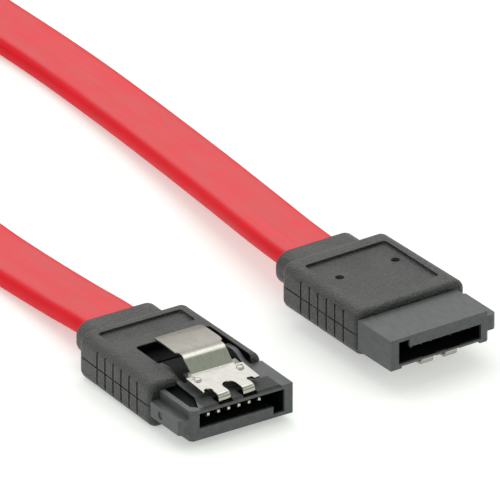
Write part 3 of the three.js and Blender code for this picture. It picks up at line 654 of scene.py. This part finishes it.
# Contacts and inner blocks: plated copper strips, seven side by side in the mouth of each plug,
# and the pale block moulded over their joints with the wires.
CONTACT_EDGE = 0.03
CONTACT_COUNT = 7
CONTACT_PITCH = 1.27
FIRST_CONTACT = -4.78
TIP_FRONT = 0.75
TIP_ROOT = 3.0
TIP_HEIGHT = 2.03
TIP_NARROWED = 0.35
TIP_HEIGHTENED = 0.9
TIP_END_SHARE = 0.9
TIP_ASIDE = 0.1
TIP_BACK = 0.36
TIP_LOWERED = 0.21


def contact_plating():
    finish, nodes, links, shader = finish_named("contact_plating", 0.3, 1.0)
    wear = noise(nodes, links, place_on_table(nodes), 2500, 3)
    stops = ((0.35, written(206, 202, 192)), (0.7, written(232, 228, 216)))
    links.new(ramp(nodes, links, wear, stops), shader.inputs["Base Color"])
    links.new(bump(nodes, links, wear, 0.1, 0.00002), shader.inputs["Normal"])
    return finish


def block_plastic():
    finish, nodes, links, shader = finish_named("block_plastic", 0.55)
    clouds = noise(nodes, links, place_on_table(nodes), 600, 3)
    stops = ((0.3, written(196, 192, 178)), (0.7, written(214, 210, 198)))
    links.new(ramp(nodes, links, clouds, stops), shader.inputs["Base Color"])
    links.new(bump(nodes, links, clouds, 0.1, 0.00003), shader.inputs["Normal"])
    return finish


def drawn_tip(place):
    """The sprung tip is drawn narrower and taller than the strip, and stands a little back."""
    share = max(0, (TIP_ROOT - place.y) / (TIP_ROOT - TIP_FRONT)) ** 2
    middle = FIRST_CONTACT + CONTACT_PITCH * round((place.x - FIRST_CONTACT) / CONTACT_PITCH)
    narrow = (middle - place.x) * TIP_NARROWED * share
    tall = (place.z - TIP_HEIGHT) * TIP_HEIGHTENED * share if share > TIP_END_SHARE else 0
    return place + Vector((TIP_ASIDE * share + narrow, TIP_BACK * share, tall - TIP_LOWERED * share))


contact_finish = contact_plating()
block_finish = block_plastic()
for side in TO_PLUG:
    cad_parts[f"plug_{side}_inner_block"].material_slots[0].material = block_finish
    for number in range(1, CONTACT_COUNT + 1):
        node = f"plug_{side}_contact_{number}"
        contact = softened(node, side, CONTACT_EDGE, 1, "cable", drawn_tip)
        contact.data.materials.append(contact_finish)


# Table: a plain white sheet of card, matt, on which the cable's soft shadow falls.
# It is painted a little bright, so that it reads as white around the shadow.
TABLE_REACH = 3
TABLE_TONE = 0.66
TABLE_GLOW = 0.4

table_corners = [(x * TABLE_REACH, y * TABLE_REACH, 0) for x, y in ((-1, -1), (1, -1), (1, 1), (-1, 1))]
table_mesh = bpy.data.meshes.new("table")
table_mesh.from_pydata(table_corners, [], [(0, 1, 2, 3)])
table = set_out("table", table_mesh)
table_card, _, _, table_shader = finish_named("table_card", 0.95)
table_shader.inputs["Base Color"].default_value = grey(TABLE_TONE)
table_shader.inputs["Specular IOR Level"].default_value = 0.0
table_shader.inputs["Emission Color"].default_value = grey(1)
table_shader.inputs["Emission Strength"].default_value = TABLE_GLOW
table_mesh.materials.append(table_card)


# Light: a white tent all round, brightest in a band a third of the way up, dimmer above and toward
# the table, and a little green on the camera's side. The camera sees it plain white. One broad lamp
# overhead and to the back throws the soft shadow.
TENT_LEVEL = 1.9
TENT_WHITE = grey(1)
TENT_RIM = (0.42, 0.41, 0.385, 1)
TENT_TOP = grey(0.42)
TENT_FILL = (0.66, 0.73, 0.62, 1)
TENT_RISE = ((0.0, TENT_RIM), (0.37, TENT_RIM), (0.45, TENT_WHITE), (0.62, TENT_WHITE), (0.73, TENT_TOP))
TENT_DEPTH = ((0.0, TENT_FILL), (0.35, TENT_WHITE))
LAMP_PLACE = Vector((0.15, 0.25, 0.75))
LAMP_WIDTH = 0.8
LAMP_DEPTH = 0.6
LAMP_POWER = 2.5

tent = bpy.data.worlds.new("tent")
tent.use_nodes = True
tent_nodes, tent_links = tent.node_tree.nodes, tent.node_tree.links
tent_split = tent_nodes.new("ShaderNodeSeparateXYZ")
tent_links.new(tent_nodes.new("ShaderNodeTexCoord").outputs["Generated"], tent_split.inputs[0])
tent_mix = tent_nodes.new("ShaderNodeMix")
tent_mix.data_type = "RGBA"
tent_mix.blend_type = "MULTIPLY"
tent_mix.inputs["Factor"].default_value = 1
tent_links.new(ramp(tent_nodes, tent_links, tent_split.outputs["Z"], TENT_RISE), tent_mix.inputs[6])
tent_links.new(ramp(tent_nodes, tent_links, tent_split.outputs["Y"], TENT_DEPTH), tent_mix.inputs[7])
tent_lit = tent_nodes["Background"]
tent_lit.inputs["Strength"].default_value = TENT_LEVEL
tent_links.new(tent_mix.outputs[2], tent_lit.inputs["Color"])
tent_seen = tent_nodes.new("ShaderNodeBackground")
tent_seen.inputs["Color"].default_value = TENT_WHITE
tent_choice = tent_nodes.new("ShaderNodeMixShader")
tent_links.new(tent_nodes.new("ShaderNodeLightPath").outputs["Is Camera Ray"], tent_choice.inputs[0])
tent_links.new(tent_lit.outputs[0], tent_choice.inputs[1])
tent_links.new(tent_seen.outputs[0], tent_choice.inputs[2])
tent_links.new(tent_choice.outputs[0], tent_nodes["World Output"].inputs["Surface"])
bpy.context.scene.world = tent

lamp_data = bpy.data.lights.new("overhead_lamp", "AREA")
lamp_data.shape = "RECTANGLE"
lamp_data.size = LAMP_WIDTH
lamp_data.size_y = LAMP_DEPTH
lamp_data.energy = LAMP_POWER
lamp = set_out("overhead_lamp", lamp_data)
lamp.location = LAMP_PLACE
lamp.rotation_euler = (-LAMP_PLACE).to_track_quat("-Z", "Y").to_euler()
bpy.context.scene.view_settings.view_transform = "Standard"
